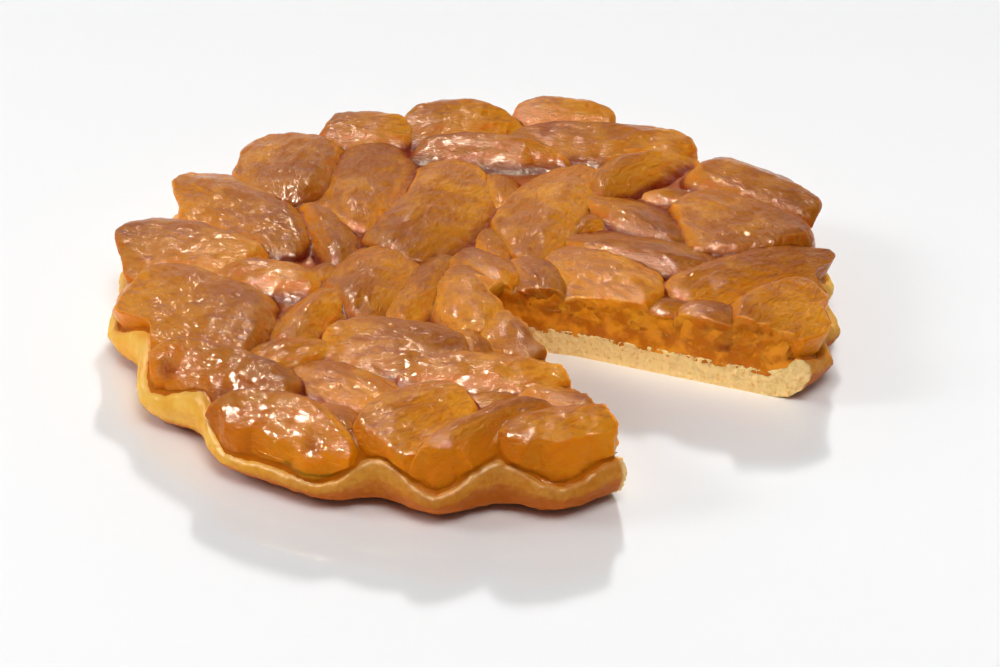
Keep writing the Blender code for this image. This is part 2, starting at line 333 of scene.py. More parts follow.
@dataclass
class Nodes:
    """A node tree under construction, with short ways to add what the finishes need."""

    tree: Tree

    def add(self, kind: str, **settings: object) -> Node:
        """Adds a node of a kind and sets its properties.

        Args:
            kind: The kind, without the word that all shader nodes start with.
            settings: The node's properties.

        Returns:
            The node.
        """
        node = self.tree.nodes.new("ShaderNode" + kind)
        for setting, value in settings.items():
            setattr(node, setting, value)
        return node

    def feed(self, node: Node, **inputs: object) -> Node:
        """Sets or links a node's inputs, named with _ for a space; a bare number is the input's place.

        Args:
            node: The node.
            inputs: A value or a socket for each input.

        Returns:
            The same node.
        """
        for name, value in inputs.items():
            key = int(name[1:]) if name[0] == "_" else name.replace("_", " ")
            if isinstance(value, Socket):
                self.tree.links.new(value, node.inputs[key])
            else:
                node.inputs[key].default_value = value
        return node

    def noise(self, vector: Socket, scale: float, detail: float = 3.0, rough: float = 0.55) -> Socket:
        """Adds a noise.

        Args:
            vector: Where it is read.
            scale: How many spots there are to the metre.
            detail: How many finer layers it has.
            rough: How strong the finer layers are.

        Returns:
            The noise, from 0 to 1.
        """
        node = self.add("TexNoise")
        self.feed(node, Vector=vector, Scale=scale, Detail=detail, Roughness=rough)
        return node.outputs["Fac"]

    def ramp(self, value: Socket, low: float, high: float, start: float = 0.0, end: float = 1.0) -> Socket:
        """Carries a value over from one range to another, smoothly and never past its ends.

        Args:
            value: The value.
            low: Where its own range starts.
            high: Where its own range ends.
            start: What it gives at the low end.
            end: What it gives at the high end.

        Returns:
            The new value.
        """
        node = self.add("MapRange", interpolation_type="SMOOTHSTEP")
        self.feed(node, Value=value, From_Min=low, From_Max=high, To_Min=start, To_Max=end)
        return node.outputs["Result"]

    def math(self, operation: str, first: object, second: object) -> Socket:
        """Does one sum on two values.

        Args:
            operation: The kind of sum.
            first: The first value.
            second: The second value.

        Returns:
            What it comes to.
        """
        node = self.add("Math", operation=operation)
        self.feed(node, _0=first, _1=second)
        return node.outputs["Value"]

    def mix(self, share: object, first: object, second: object) -> Socket:
        """Mixes two colours.

        Args:
            share: How much of the second there is.
            first: The first colour.
            second: The second colour.

        Returns:
            The mixed colour.
        """
        node = self.add("Mix", data_type="RGBA")
        first, second = ((*value, 1.0) if isinstance(value, tuple) else value for value in (first, second))
        return self.feed(node, _0=share, _6=first, _7=second).outputs[2]

    def attribute(self, name: str, output: str = "Fac") -> Socket:
        """One of the stored attributes."""
        return self.add("Attribute", attribute_name=name).outputs[output]

    def place(self) -> Socket:
        """Object coordinates."""
        return self.add("TexCoord").outputs["Object"]

    def scaled(self, vector: Socket, scale: Vec3) -> Socket:
        """Scales a vector along each axis.

        Args:
            vector: The vector.
            scale: The scale of each axis.

        Returns:
            The scaled vector.
        """
        mapping = self.add("Mapping")
        self.feed(mapping, Vector=vector, Scale=scale)
        return mapping.outputs["Vector"]

    def warped(self, vector: Socket, scale: float, reach: float) -> Socket:
        """A vector bent this way and that.

        Args:
            vector: The vector.
            scale: How many bends there are to the metre.
            reach: How far it is bent at most, in millimetres.

        Returns:
            The bent vector.
        """
        noise = self.add("TexNoise")
        self.feed(noise, Vector=vector, Scale=scale, Detail=2.0)
        centred = self.add("VectorMath", operation="SUBTRACT")
        self.feed(centred, _0=noise.outputs["Color"], _1=(0.5, 0.5, 0.5))
        reached = self.add("VectorMath", operation="SCALE")
        self.feed(reached, _0=centred.outputs["Vector"], Scale=reach * MM * 2)
        total = self.add("VectorMath", operation="ADD")
        self.feed(total, _0=vector, _1=reached.outputs["Vector"])
        return total.outputs["Vector"]

    def bump(self, height: Socket, depth: float, strength: float = 1.0, under: Socket | None = None) -> Socket:
        """Adds a bump.

        Args:
            height: Its height, from 0 to 1.
            depth: How deep it is, in millimetres.
            strength: How much of it shows.
            under: The bump that it lies over, if any.

        Returns:
            The bumped normal.
        """
        node = self.add("Bump")
        self.feed(node, Height=height, Distance=depth * MM, Strength=strength)
        if under is not None:
            self.feed(node, Normal=under)
        return node.outputs["Normal"]

    def shared(self, group: Tree, **inputs: object) -> Socket:
        """Adds one of the shared effects and gives what it puts out."""
        node = self.add("Group", node_tree=group)
        return self.feed(node, **inputs).outputs[0]


def effect(
    name: str,
    output: str,
    inputs: dict[str, float | None],
    fill: Callable[[Nodes, dict[str, Socket]], Socket],
) -> Tree:
    """An effect that more than one finish uses, as a node group made once.

    Args:
        name: The group's name.
        output: The name of the value that it puts out.
        inputs: Each input's usual value, or None for a vector.
        fill: Adds what is inside, from the group's inputs, and gives the value.

    Returns:
        The group.
    """
    tree = bpy.data.node_groups.get(name)
    if tree is None:
        tree = bpy.data.node_groups.new(name, "ShaderNodeTree")
        for key, value in inputs.items():
            kind = "NodeSocketVector" if value is None else "NodeSocketFloat"
            socket = tree.interface.new_socket(key, in_out="INPUT", socket_type=kind)
            if value is not None:
                socket.default_value = value
        tree.interface.new_socket(output, in_out="OUTPUT", socket_type="NodeSocketFloat")
        way_in, way_out = tree.nodes.new("NodeGroupInput"), tree.nodes.new("NodeGroupOutput")
        value = fill(Nodes(tree), {key: way_in.outputs[key] for key in inputs})
        tree.links.new(value, way_out.inputs[output])
    return tree


def flecks() -> Tree:
    """Flecks of another colour: how much of it each spot takes.

    Returns:
        The group.
    """

    def fill(nodes: Nodes, given: dict[str, Socket]) -> Socket:
        """Adds the noise, cuts it off between two levels and weighs it."""
        spots = nodes.noise(given["Vector"], given["Scale"])
        return nodes.math("MULTIPLY", nodes.ramp(spots, given["Low"], given["High"]), given["Share"])

    inputs = {"Vector": None, "Scale": 500.0, "Low": 0.45, "High": 0.65, "Share": 0.5}
    return effect("flecks", "Share", inputs, fill)


def wet_beads() -> Tree:
    """Beads of syrup that stand in patches: their height.

    Returns:
        The group.
    """

    def fill(nodes: Nodes, given: dict[str, Socket]) -> Socket:
        """Adds the beads and lets them stand where the patches are.

        Args:
            nodes: The group's nodes.
            given: The group's inputs.

        Returns:
            The height.
        """
        spread = nodes.noise(given["Vector"], given["Patches"], 2, 0.5)
        patches = nodes.ramp(spread, 0.42, 0.6, given["Least"], 1.0)
        return nodes.math("MULTIPLY", nodes.noise(given["Vector"], given["Scale"], 2, 0.5), patches)

    inputs = {"Vector": None, "Scale": 600.0, "Patches": 110.0, "Least": 0.1}
    return effect("wet beads", "Height", inputs, fill)


def new_material(name: str) -> tuple[Material, Nodes, Node]:
    """Makes a material with nothing on its shader yet.

    Args:
        name: The material's name.

    Returns:
        The material, its nodes and its shader.
    """
    material = bpy.data.materials.new(name)
    material.use_nodes = True
    nodes = Nodes(material.node_tree)
    return material, nodes, material.node_tree.nodes["Principled BSDF"]


@dataclass(frozen=True)
class AppleFinish:
    """Caramelised apple: amber flesh, fibrous on its sliced top, wet all over, with painted shade low down
    between the pieces.

    The depths of its ripples, fibres and film are in millimetres.
    """

    top: Vec3 = (0.46, 0.138, 0.008)
    streak: Vec3 = (0.33, 0.065, 0.002)
    side: Vec3 = (0.76, 0.225, 0.003)
    # foot is painted shade: the dark colour that low spots take in the valleys between the pieces.
    foot: Vec3 = (0.22, 0.018, 0.001)
    gold: Vec3 = (0.70, 0.26, 0.008)
    open_side: Vec3 = (0.90, 0.35, 0.02)
    painted_shade_up_to: float = 0.42
    shades: Band = (0.56, 1.02)
    hues: Band = (0.492, 0.502)
    ripples: float = 1.1
    fibres: float = 0.8
    film: float = 0.7

    def material(self) -> Material:
        """Makes the material, which reads the pieces' grain, rise, crown, tone and cut.

        Returns:
            The material.
        """
        material, nodes, shader = new_material("caramelised apple")
        grain = nodes.warped(nodes.attribute("grain", "Vector"), 160, 3.0)
        along = nodes.scaled(grain, (0.35, 1.0, 1.0))
        rise = nodes.attribute("rise")
        crown = nodes.attribute("crown")
        tone = nodes.attribute("tone")
        cut = nodes.attribute("cut")
        place = nodes.place()

        golden = nodes.shared(flecks(), Vector=place, Scale=60.0, Low=0.45, High=0.66, Share=0.8)
        streaks = nodes.shared(flecks(), Vector=along, Scale=420.0, Low=0.46, High=0.7, Share=0.4)
        pores = nodes.shared(flecks(), Vector=along, Scale=1100.0, Low=0.5, High=0.68, Share=0.35)
        top = nodes.mix(golden, self.top, self.gold)
        top = nodes.mix(streaks, top, self.streak)
        top = nodes.mix(pores, top, self.streak)
        # Painted shade: the sides darken to the foot colour towards the valley and take less gold low down.
        side = nodes.mix(nodes.ramp(rise, -0.2, 0.55), self.foot, self.side)
        side = nodes.mix(nodes.math("MULTIPLY", golden, rise), side, self.gold)
        # Top or side colour by the crown, which leans back: slopes facing the front take the side colour and
        # slopes facing the back the top colour, as painted light and shade.
        skin = nodes.mix(crown, side, top)
        # Painted highlight: a band of gold along the edge between the sliced top and the sides.
        painted_edge_highlight = nodes.math("MULTIPLY", crown, nodes.math("SUBTRACT", 1.0, crown))
        skin = nodes.mix(nodes.math("MULTIPLY", painted_edge_highlight, 2.4), skin, self.gold)
        # Painted shade: every spot low in a valley between the pieces darkens to the foot colour.
        skin = nodes.mix(nodes.ramp(rise, 0.0, self.painted_shade_up_to, 1.0, 0.0), skin, self.foot)
        patches = nodes.shared(flecks(), Vector=place, Scale=170.0, Low=0.4, High=0.62, Share=0.9)
        skin = nodes.mix(cut, skin, nodes.mix(patches, self.open_side, self.side))
        shade = nodes.add("HueSaturation")
        # The tone sets the value and carries the painted shade laid across each piece.
        value, hue = (nodes.ramp(tone, 0, 1, *band) for band in (self.shades, self.hues))
        nodes.feed(shade, Color=skin, Value=value, Hue=hue)

        fibres = nodes.noise(along, 620, 4, 0.6)
        ripples = nodes.noise(nodes.scaled(grain, (0.6, 1.0, 1.0)), 300, 2, 0.5)
        normal = nodes.bump(fibres, self.fibres, under=nodes.bump(ripples, self.ripples))
        beads = nodes.shared(wet_beads(), Vector=place, Scale=760.0, Patches=120.0, Least=0.2)
        nodes.feed(
            shader,
            Base_Color=shade.outputs["Color"],
            Roughness=nodes.ramp(fibres, 0.3, 0.7, 0.3, 0.45),
            Normal=normal,
            IOR=1.4,
            Specular_IOR_Level=0.03,
            Subsurface_Weight=nodes.ramp(crown, 0, 1, 0.6, 0.25),
            Subsurface_Radius=(1.0, 0.34, 0.06),
            Subsurface_Scale=4.0 * MM,
            Coat_Weight=1.0,
            Coat_Roughness=0.08,
            Coat_IOR=1.15,
            Coat_Normal=nodes.bump(beads, self.film),
        )
        return material


@dataclass(frozen=True)
class CaramelFinish:
    """Soft apple in caramel: dark red along the pieces, where the shade is painted, brown and glossy where
    open, amber where cut.
    """

    # deep is painted shade: the dark red of the creases along the pieces, away from the open pools.
    deep: Vec3 = (0.13, 0.009, 0.001)
    open_top: Vec3 = (0.33, 0.075, 0.012)
    warm: Vec3 = (0.50, 0.13, 0.003)
    cut: Vec3 = (0.55, 0.15, 0.004)
    gold: Vec3 = (0.84, 0.31, 0.018)

    def material(self) -> Material:
        """Makes the material, which reads the bed's pool, wall and cut.

        Returns:
            The material.
        """
        material, nodes, shader = new_material("apple set in caramel")
        pool = nodes.attribute("pool")
        wall = nodes.attribute("wall")
        cut = nodes.attribute("cut")
        place = nodes.place()
        bits = nodes.shared(flecks(), Vector=place, Scale=420.0, Low=0.5, High=0.68, Share=0.5)
        # Painted shade: away from the open pools, the caramel takes the dark red of the creases.
        base = nodes.mix(nodes.math("MAXIMUM", pool, bits), self.deep, self.open_top)
        base = nodes.mix(wall, base, self.warm)
        patches = nodes.shared(flecks(), Vector=place, Scale=150.0, Low=0.4, High=0.62, Share=1.0)
        base = nodes.mix(cut, base, nodes.mix(patches, self.cut, self.gold))
        grain = nodes.bump(nodes.noise(place, 520), 0.5, 0.6)
        beads = nodes.shared(wet_beads(), Vector=place, Scale=700.0, Patches=120.0, Least=0.3)
        nodes.feed(
            shader,
            Base_Color=base,
            Roughness=0.3,
            Normal=grain,
            IOR=1.45,
            Specular_IOR_Level=0.03,
            Subsurface_Weight=0.2,
            Subsurface_Radius=(1.0, 0.28, 0.06),
            Subsurface_Scale=2.5 * MM,
            Coat_Weight=nodes.ramp(nodes.math("MAXIMUM", pool, cut), 0.0, 1.0, 0.12, 1.0),
            Coat_Roughness=0.08,
            Coat_IOR=1.18,
            Coat_Normal=nodes.bump(beads, 0.4),
        )
        return material


@dataclass(frozen=True)
class PastryFinish:
    """Baked pastry: golden and glazed on its lip, browner under the rim, cream and crumbly where it is cut."""

    golden: Vec3 = (0.82, 0.41, 0.045)
    light: Vec3 = (0.88, 0.54, 0.11)
    brown: Vec3 = (0.44, 0.105, 0.006)
    cream: Vec3 = (0.97, 0.70, 0.32)
    crust: Vec3 = (0.80, 0.46, 0.14)

    def material(self) -> Material:
        """Makes the material, which reads the pastry's cut and bake.

        Returns:
            The material.
        """
        material, nodes, shader = new_material("baked pastry")
        cut = nodes.attribute("cut")
        bake = nodes.attribute("bake")
        place = nodes.place()
        bits = nodes.noise(place, 480, 4, 0.6)
        crumbs = nodes.add("TexVoronoi", feature="F1")
        nodes.feed(crumbs, Vector=place, Scale=620.0)
        paler = nodes.shared(flecks(), Vector=place, Scale=70.0, Low=0.35, High=0.7, Share=1.0)
        wall = nodes.mix(paler, self.golden, self.light)
        browned = nodes.math("ADD", bake, nodes.ramp(bits, 0.3, 0.8, -0.08, 0.1))
        wall = nodes.mix(nodes.ramp(browned, 0.0, 1.0), wall, self.brown)
        inside = nodes.mix(nodes.ramp(bits, 0.52, 0.7), self.cream, self.crust)
        base = nodes.mix(cut, wall, inside)
        normal = nodes.bump(bits, 0.35, 0.7)
        holes = nodes.math("MULTIPLY", crumbs.outputs["Distance"], cut)
        normal = nodes.bump(holes, 0.9, 0.8, normal)
        nodes.feed(
            shader,
            Base_Color=base,
            Roughness=nodes.ramp(bits, 0.3, 0.7, 0.34, 0.5),
            Normal=normal,
            IOR=1.45,
            Specular_IOR_Level=0.05,
            Subsurface_Weight=0.25,
            Subsurface_Radius=(1.0, 0.45, 0.12),
            Subsurface_Scale=1.6 * MM,
            Coat_Weight=nodes.ramp(cut, 0.0, 1.0, 0.12, 0.0),
            Coat_Roughness=0.3,
            Coat_IOR=1.25,
            Coat_Normal=normal,
        )
        return material


@dataclass(frozen=True)
class FloorFinish:
    """A polished white sheet that mirrors the tart faintly."""

    white: Vec3 = (0.86, 0.86, 0.865)

    def material(self) -> Material:
        """Makes the material.

        Returns:
            The material.
        """
        material, nodes, shader = new_material("white floor")
        nodes.feed(shader, Base_Color=(*self.white, 1.0), Roughness=0.04, IOR=1.5)
        return material


# The tart.


@dataclass(frozen=True)
class Side:
    """One flat side of the missing portion, seen from above, in millimetres."""

    start: tuple[float, float]
    bearing: float
    reach: float
    left: bool

    def along(self) -> Rows:
        """The direction that the side runs in."""
        turn = math.radians(self.bearing)
        return np.array((math.cos(turn), math.sin(turn)))

    def outward(self) -> Rows:
        """The direction from the side into the gap."""
        x, y = self.along()
        return np.array((-y, x)) if self.left else np.array((y, -x))

    def nearest(self, flat: Rows) -> Rows:
        """Finds the place on the side that is nearest to each point.

        Args:
            flat: The points, seen from above, in millimetres.

        Returns:
            The places, measured the same way.
        """
        along = self.along()
        reached = np.clip((flat - self.start) @ along, 0, self.reach)
        return np.array(self.start) + reached[:, None] * along

    def beyond(self, flat: Rows) -> Rows:
        """How far each point is over the side's line, towards the gap."""
        return (flat - self.start) @ self.outward()


@dataclass(frozen=True)
class CutSides:
    """The flat sides that the missing portion left: one to each side and a short step at its tip."""

    sides: tuple[Side, ...] = (
        Side((1.0, -17.0), -64.5, 400.0, True),
        Side((1.0, -17.0), -12.936, 37.964, False),
        Side((38.0, -25.5), -22.0, 400.0, False),
    )

    def closest(self, points: Rows) -> tuple[Rows, Rows, Rows]:
        """Finds the cut nearest to each point.

        Args:
            points: The points, in metres.

        Returns:
            For each, how far the cut is and where, in millimetres, and the direction from it into the gap.
        """
        flat = points[:, :2] / MM
        distance = np.full(len(flat), 1e3)
        place = flat.copy()
        outward = np.zeros_like(flat)
        for side in self.sides:
            found = side.nearest(flat)
            away = np.linalg.norm(flat - found, axis=1)
            better = away < distance
            distance = np.where(better, away, distance)
            place[better] = found[better]
            outward[better] = side.outward()
        return distance, place, outward

    def depth(self, points: Rows) -> Rows:
        """How far each point is from the cut, in millimetres."""
        return self.closest(points)[0]

    def near(self, points: Rows, band: Band) -> Rows:
        """1 at the cut and 0 past a band of depths."""
        return 1 - ease(self.depth(points), band)

    def stretch(self, piece: Piece, spare: float) -> None:
        """Lets a piece's cut face stand out into the gap, less near the portion's tip.

        Args:
            piece: The piece.
            spare: How far, in millimetres.
        """
        points = points_of(piece)
        distance, _, outward = self.closest(points)
        from_tip = np.linalg.norm(points[:, :2] / MM - self.sides[0].start, axis=1)
        step = np.minimum(spare, 0.3 * from_tip) * (distance < 0.4)
        points[:, :2] += outward * step[:, None] * MM
        move_points(piece, points)

    def trim(self, piece: Piece) -> None:
        """Presses what stands out into the gap back to the cut, as a knife would leave it.

        Args:
            piece: The piece.
        """
        points = points_of(piece)
        _, place, _ = self.closest(points)
        inside = np.all([side.beyond(points[:, :2] / MM) > 0 for side in self.sides], axis=0)
        points[inside, :2] = place[inside] * MM
        move_points(piece, points)


@dataclass
class Wall:
    """The pastry's wall, measured on its solid, and the level of the soft apple and caramel inside it."""

    node: Piece
    level: float = 10.8
    under_lip: float = 1.5
    slope: float = 5.0
    dome: float = 18.0
    to_lip: Band = (-3.5, -0.5)
    past_lip: Band = (-0.5, 3.0)
    fill_middle: float = 23.6
    fill_under_lip: float = 0.3
    fill_bank: float = 5.0
    outermost: float = 124.0
    sector: float = 2.0
    window: int = 31
    inner: Rows = field(init=False)
    edge: Rows = field(init=False)
    even: Rows = field(init=False)
    lip: Rows = field(init=False)

    def __post_init__(self) -> None:
        """Measures the wall at each degree."""
        tree = BVHTree.FromObject(self.node, bpy.context.evaluated_depsgraph_get())
        points = points_of(self.node) / MM
        outer = points[np.hypot(points[:, 0], points[:, 1]) > self.outermost]
        bearings = np.degrees(np.arctan2(outer[:, 1], outer[:, 0]))
        degrees = np.arange(360)
        inner, edge, lip = (np.full(360, np.nan) for _ in range(3))
        for degree in degrees:
            near = np.abs((bearings - degree + 180) % 360 - 180) < self.sector
            if not near.any():
                continue
            top = outer[near, 2].max()
            at_level = self.reached(tree, degree, self.level)
            at_lip = self.reached(tree, degree, top - self.under_lip)
            if at_level and at_lip:
                inner[degree], edge[degree], lip[degree] = at_level, max(at_level, at_lip), top
        whole = ~np.isnan(inner)
        self.inner, self.edge, self.lip = (
            self.eased(np.interp(degrees, degrees[whole], values[whole], period=360))
            for values in (inner, edge, lip)
        )
        turned = [np.roll(self.edge, shift) for shift in range(-self.window // 2, self.window // 2 + 1)]
        self.even = (np.mean(turned, axis=0) + np.max(turned, axis=0)) / 2

    @staticmethod
    def eased(values: Rows) -> Rows:
        """Smooths a measure over its neighbours.

        Args:
            values: The measure at each degree.

        Returns:
            The smoothed measure.
        """
        for _ in range(3):
            values = (np.roll(values, 1) + 2 * values + np.roll(values, -1)) / 4
        return values

    @staticmethod
    def reached(tree: BVHTree, degree: int, height: float) -> float | None:
        """How far out the wall stands.

        Args:
            tree: The pastry's faces.
            degree: The bearing to look in.
            height: The height to look at, in millimetres.

        Returns:
            The distance in millimetres, or None where the wall is cut away.
        """
        turn = math.radians(degree)
        ray = Vector((math.cos(turn), math.sin(turn), 0))
        hit = tree.ray_cast(ray * 0.1 + Vector((0, 0, height * MM)), ray)[0]
        return hit.xy.length / MM if hit else None

    def at(self, points: Rows, values: Rows) -> Rows:
        """Reads one of the wall's measures at each point's bearing."""
        bearing = np.degrees(np.arctan2(points[:, 1], points[:, 0]))
        return np.interp(bearing, np.arange(360), values, period=360)

    def room(self, points: Rows) -> Rows:
        """How far each point is inside the lip, in millimetres."""
        return self.at(points, self.edge) - radius_of(points)

    def over_lip(self, points: Rows) -> Rows:
        """How far each point is over the wall's lip, in millimetres."""
        return points[:, 2] / MM - self.at(points, self.lip)

    def fill_level(self, points: Rows) -> Rows:
        """How high the filling stands: even in the middle, and down at the lip by the wall.

        Args:
            points: The points, in metres.

        Returns:
            The height at each, in millimetres.
        """
        rim = self.at(points, self.lip) - self.fill_under_lip
        share = np.clip(self.room(points) / self.fill_bank, 0, 1)
        return rim + (self.fill_middle - rim) * share * (1.8 - 0.8 * share)

    def hold_in(self, piece: Piece, over: float, lean: float = 0.0) -> None:
        """Keeps a piece from reaching further than a little into the wall.

        Args:
            piece: The piece.
            over: How far it may reach into the wall under the lip, in millimetres.
            lean: How much it leans out over the lip, or 0 where it slopes back from it.
        """
        points = points_of(piece)
        radius = radius_of(points)
        high = self.over_lip(points)
        inner, edge = self.at(points, self.inner) + over, self.at(points, self.edge)
        limit = inner + (edge - inner) * ease(high, self.to_lip)
        if lean:
            limit += lean * np.clip(high, 0, 20)
        else:
            limit += np.maximum(0, self.at(points, self.even) - edge) * ease(high, self.past_lip)
            limit -= self.slope * (1 - np.sqrt(1 - np.clip(high / self.dome, 0, 1) ** 2))
        excess = np.maximum(0, radius - limit)
        points[:, :2] *= (1 - excess / radius)[:, None]
        move_points(piece, points)


@dataclass(frozen=True)
class Axes:
    """A piece seen from above: its middle, its heading in degrees, and half its length and width, in metres."""

    middle: tuple[float, float]
    heading: float
    half_length: float
    half_width: float

    def offsets(self, points: Rows) -> tuple[Rows, Rows]:
        """How far each point is from the middle.

        Args:
            points: The points, in metres.

        Returns:
            The distances along and across the piece, in metres.
        """
        turn = math.radians(self.heading)
        x, y = points[:, 0] - self.middle[0], points[:, 1] - self.middle[1]
        return x * math.cos(turn) + y * math.sin(turn), y * math.cos(turn) - x * math.sin(turn)

    def shares(self, points: Rows) -> tuple[Rows, Rows]:
        """The same, as shares of the half length and half width."""
        along, across = self.offsets(points)
        return along / self.half_length, across / self.half_width


@dataclass(frozen=True)
class Roof:
    """How a piece's top falls away from a ridge along it, in millimetres per millimetre.

    The front is the side towards -Y, where the top is rounded. The ridge lies at a share of the half width, -1
    at the front and 1 at the back. Past a share of the half length, the ends fall away too.
    """

    ridge: float = 0.0
    front: float = 0.0
    back: float = 0.0
    ends: float = 0.0
    level: float = 0.0
    soft: float = 1.5
    tips_from: float = 0.45

    def fall(self, along: Rows, across: Rows, axes: Axes) -> Rows:
        """How far under its highest plane the top lies.

        Args:
            along: Each point's share of the half length.
            across: Its share of the half width.
            axes: The piece seen from above.

        Returns:
            The fall at each point, in metres.
        """
        edge = self.soft * MM
        off = (across - self.ridge) * axes.half_width / edge
        rounded = 0.5 + 0.6 * np.clip((self.ridge - across) / (1 + self.ridge), 0, 1)
        fall = (self.front * np.logaddexp(0, -off) * rounded + self.back * np.logaddexp(0, off)) * edge
        tip = np.maximum(0, np.abs(along) - self.tips_from) * axes.half_length
        return fall + self.ends * tip - self.level * MM


ROOFS = dict(
    rim_01=Roof(0.7, 0.12, 0.43),
    rim_02=Roof(0.5, 0.29, 0.43, 0.1),
    rim_03=Roof(0.3, 0.12, 0.14),
    rim_04=Roof(0.6, 0.22, 0.43, 0.05),
    rim_05=Roof(0.7, 0.49, 0.7, 0.15, 0.5),
    rim_06=Roof(0.75, 0.32, 0.58, 0.05),
    rim_07=Roof(0.6, 0.36, 0.58, 0.1),
    rim_08=Roof(0.6, 0.26, 0.43, 0.05),
    rim_09=Roof(0.5, 0.29, 0.43, 0.05),
    rim_10=Roof(0.4, 0.14, 0.22, 0.05),
    rim_11=Roof(0.3, 0.14, 0.29, 0.1),
    rim_12=Roof(0.3, 0.17, 0.22, 0.05),
    rim_14=Roof(0.4, 0.14, 0.22, 0.05),
    rim_15=Roof(0.65, 0.62, 0.62, 0.1, 2.5),
    rim_16=Roof(0.8, 0.62, 0.62, 0.1, 3.5),
    rim_17=Roof(0.9, 0.12, 0.43),
    rim_18=Roof(0.3, 0.62, 0.62, 0.1, 2.0),
    rim_19=Roof(0.9, 0.12, 0.43),
    ring_02=Roof(-0.35, 0.62, 0.32, 0.1, 1.0),
    ring_03=Roof(-0.2, 0.62, 0.36, 0.1, 1.0),
    ring_04=Roof(0.0, 0.29, 0.29, 0.1, 1.0),
    ring_05=Roof(0.5, 0.48, 0.62, 0.1, 0.5),
    ring_07=Roof(-0.1, 0.62, 0.61, 0.15, 1.5),
    ring_08=Roof(0.45, 0.43, 0.62, 0.1, 1.5),
    ring_09=Roof(0.1, 0.51, 0.58, 0.1, 1.0),
    ring_10=Roof(0.3, 0.29, 0.29, 0.1, 1.0),
    ring_12=Roof(0.0, 0.36, 0.36, 0.1, 1.5),
    ring_13=Roof(0.3, 0.29, 0.43, 0.1),
    ring_15=Roof(0.3, 0.43, 0.43, 0.1),
    core_02=Roof(0.2, 0.22, 0.29, 0.1),
    core_04=Roof(-0.2, 0.43, 0.14, 0.1),
    core_07=Roof(0.0, 0.29, 0.29, 0.1, 1.0),
    core_11=Roof(0.0, 0.43, 0.43, 0.1),
    core_12=Roof(0.3, 0.22, 0.29, 0.1),
    core_14=Roof(0.5, 0.14, 0.29, 0.05),
)
USUAL_ROOF = Roof(0.3, 0.25, 0.3, 0.1, 0.5)

TONES = dict(
    core_02=1.0, core_04=0.8, core_08=0.6, ring_02=0.25, ring_03=0.35, ring_06=0.5, rim_01=0.7,
    rim_07=0.85, rim_10=0.45, rim_11=0.5, rim_12=0.55, rim_13=0.45, rim_14=0.5, rim_15=0.3,
    rim_16=0.55, rim_17=0.8, rim_18=0.45, rim_19=0.75,
)


